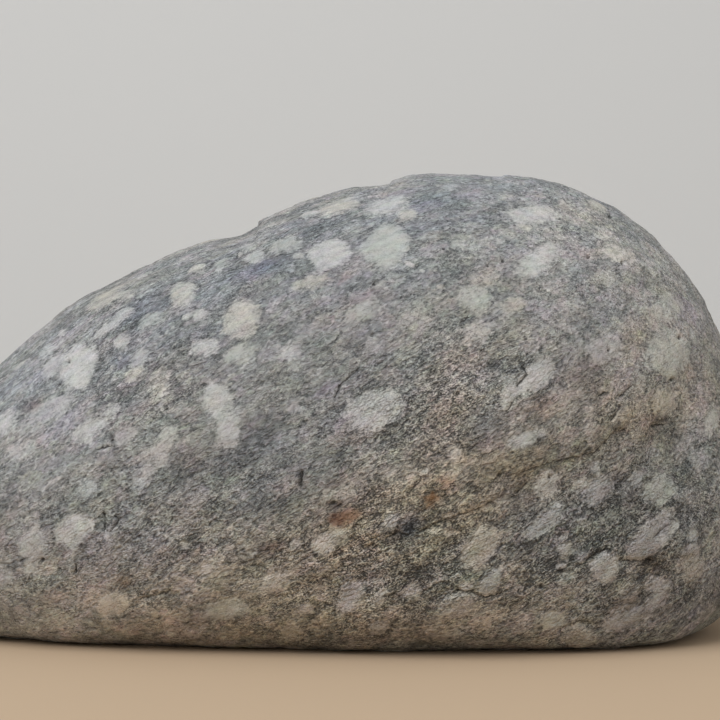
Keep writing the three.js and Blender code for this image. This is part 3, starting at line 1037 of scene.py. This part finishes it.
# Its fine relief is raised by a tree of Geometry Nodes: uneven wear in a noise of two widths,
# ridges along the layers, eyes that stand a little proud, and the cracks, ledges and pits
relief_sizes = {
    "Wear width": 4.5 * mm,
    "Wear height": 0.6 * mm,
    "Grain width": 1.1 * mm,
    "Grain height": 0.3 * mm,
    "Ridge width": 1.1 * mm,
    "Ridge height": 0.7 * mm,
    "Layer tilt": layer_tilt,
    "Lump width": 3.4 * mm,
    "Lump height": 0.5 * mm,
    "Eye rise": 0.06 * mm,
    "Rugged eye rise": 0.3 * mm,
    "Seed": 5.0,
    "Material": finish,
}
ridge_squeeze = (0.28, 0.45, 1)
lump_squeeze = (0.55, 0.7, 1)


def relief_tree(name):
    """A tree that moves the surface along its own outward direction."""
    tree = bpy.data.node_groups.new(name, "GeometryNodeTree")
    tree.interface.new_socket("Geometry", in_out="INPUT", socket_type="NodeSocketGeometry")
    for label in relief_sizes:
        kind = "NodeSocketMaterial" if label == "Material" else "NodeSocketFloat"
        tree.interface.new_socket(label, in_out="INPUT", socket_type=kind)
    tree.interface.new_socket("Geometry", in_out="OUTPUT", socket_type="NodeSocketGeometry")
    given = linked(tree, "NodeGroupInput").outputs
    place = linked(tree, "GeometryNodeInputPosition").outputs[0]

    def stored(name):
        return linked(tree, "GeometryNodeInputNamedAttribute", {"Name": name}).outputs["Attribute"]

    def rise(vector, label):
        scale = maths(tree, "DIVIDE", 1.0, given[label + " width"])
        inputs = {"Vector": vector, "W": given["Seed"], "Scale": scale, "Detail": 2.0}
        cloud = linked(tree, "ShaderNodeTexNoise", inputs, noise_dimensions="4D").outputs["Fac"]
        return maths(tree, "MULTIPLY", maths(tree, "SUBTRACT", cloud, 0.5), given[label + " height"])

    turn = {"Vector": place, "Angle": given["Layer tilt"]}
    turned = linked(tree, "ShaderNodeVectorRotate", turn, rotation_type="Y_AXIS").outputs["Vector"]

    def squeezed(by):
        inputs = {0: turned, 1: by}
        return linked(tree, "ShaderNodeVectorMath", inputs, operation="MULTIPLY").outputs["Vector"]

    ridges = rise(squeezed(ridge_squeeze), "Ridge")
    rugged = stored("rugged")
    scale = maths(tree, "DIVIDE", 1.0, given["Lump width"])
    inputs = {"Vector": squeezed(lump_squeeze), "W": given["Seed"], "Scale": scale}
    cells = linked(tree, "ShaderNodeTexVoronoi", inputs, voronoi_dimensions="4D").outputs["Distance"]
    hollow = maths(tree, "MULTIPLY", cells, cells)
    lump_height = maths(tree, "MULTIPLY", given["Lump height"], rugged)
    height = maths(tree, "MULTIPLY", ridges, rugged)
    height = maths(tree, "SUBTRACT", height, maths(tree, "MULTIPLY", hollow, lump_height))
    for label in ("Wear", "Grain"):
        height = maths(tree, "ADD", height, rise(place, label))
    proud = ramped(tree, stored("eye"), -0.1, 0.35)
    eye_rise = maths(tree, "MULTIPLY_ADD", rugged, given["Rugged eye rise"], given["Eye rise"])
    height = maths(tree, "MULTIPLY_ADD", proud, eye_rise, height)
    height = maths(tree, "SUBTRACT", height, stored("sunk"))
    outward = linked(tree, "GeometryNodeInputNormal").outputs[0]
    shift = linked(tree, "ShaderNodeVectorMath", {0: outward, "Scale": height}, operation="SCALE")
    inputs = {"Geometry": given["Geometry"], "Offset": shift.outputs["Vector"]}
    raised = linked(tree, "GeometryNodeSetPosition", inputs)

    split = linked(tree, "ShaderNodeSeparateXYZ", {0: place}).outputs
    not_below = {"X": split["X"], "Y": split["Y"], "Z": maths(tree, "MAXIMUM", split["Z"], 0.0)}
    on_floor = linked(tree, "ShaderNodeCombineXYZ", not_below)
    inputs = {"Geometry": raised.outputs[0], "Position": on_floor.outputs["Vector"]}
    resting = linked(tree, "GeometryNodeSetPosition", inputs)

    # The groove mask, kept for the painted shade in the hollows between the lumps
    inputs = {"Geometry": resting.outputs[0], "Name": "painted_groove_shade", "Value": ramped(tree, hollow, 0.35, 0.8)}
    kept = linked(tree, "GeometryNodeStoreNamedAttribute", inputs, domain="POINT")
    smooth = linked(tree, "GeometryNodeSetShadeSmooth", {"Geometry": kept.outputs[0]})
    whole = linked(tree, "GeometryNodeRealizeInstances", {"Geometry": smooth.outputs[0]})
    inputs = {"Geometry": whole.outputs[0], "Material": given["Material"]}
    dressed = linked(tree, "GeometryNodeSetMaterial", inputs)
    linked(tree, "NodeGroupOutput", {"Geometry": dressed.outputs[0]})
    return tree


rough_stone = into_scene(stone_mesh, "rough stone")
raising = rough_stone.modifiers.new("fine relief", "NODES")
raising.node_group = relief_tree("fine relief")
for item in raising.node_group.interface.items_tree:
    if item.name in relief_sizes:
        raising[item.identifier] = relief_sizes[item.name]
stone = into_scene(settle(rough_stone), "pebble_stone")
stone.data.name = "pebble_stone"

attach(stone, "root")
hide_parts("river_pebble")

# The floor and the backdrop
# A plain pale sheet to stand on and a plain light-grey sheet well behind it.
# Both are matt and flat, and neither is a part of the stone.
reach = 3.0
backdrop_distance = 0.95
backdrop_height = 2.2


def matt(name, colour):
    """A plain matt finish."""
    material = bpy.data.materials.new(name)
    material.use_nodes = True
    surface = material.node_tree.nodes["Principled BSDF"]
    surface.inputs["Base Color"].default_value = (*colour, 1)
    surface.inputs["Roughness"].default_value = 0.95
    surface.inputs["Specular IOR Level"].default_value = 0.1
    return material


def sheet(name, corners, material):
    """One flat rectangle."""
    mesh = bpy.data.meshes.new(name)
    mesh.from_pydata(corners, [], [range(len(corners))])
    mesh.materials.append(material)
    thing = into_scene(mesh, name)
    return thing


floor_corners = [(-reach, -reach, 0), (reach, -reach, 0), (reach, reach, 0), (-reach, reach, 0)]
backdrop_corners = [
    (-reach, backdrop_distance, 0),
    (reach, backdrop_distance, 0),
    (reach, backdrop_distance, backdrop_height),
    (-reach, backdrop_distance, backdrop_height),
]
sheet("floor", floor_corners, matt("floor", (0.467, 0.356, 0.25)))
sheet("backdrop", backdrop_corners, matt("backdrop", (0.71, 0.745, 0.775)))

# The light
# Soft studio light, from a large square lamp above, in front and to the left,
# and from a light-grey room all round.
room_strength = 0.75
lamp_place = (-0.45, -0.55, 0.95)
lamp_aim = (0, 0, 0.03)
lamp_width = 0.9
lamp_power = 9.0

world = bpy.data.worlds.new("room")
world.use_nodes = True
world.node_tree.nodes["Background"].inputs["Color"].default_value = (1.0, 0.99, 0.97, 1)
world.node_tree.nodes["Background"].inputs["Strength"].default_value = room_strength
bpy.context.scene.world = world

lamp_data = bpy.data.lights.new("lamp", "AREA")
lamp_data.size = lamp_width
lamp_data.energy = lamp_power
lamp = bpy.data.objects.new("lamp", lamp_data)
lamp.location = lamp_place
lamp_direction = Vector(lamp_aim) - Vector(lamp_place)
lamp.rotation_euler = lamp_direction.to_track_quat("-Z", "Y").to_euler()
bpy.context.scene.collection.objects.link(lamp)

bpy.context.scene.view_settings.view_transform = "Standard"
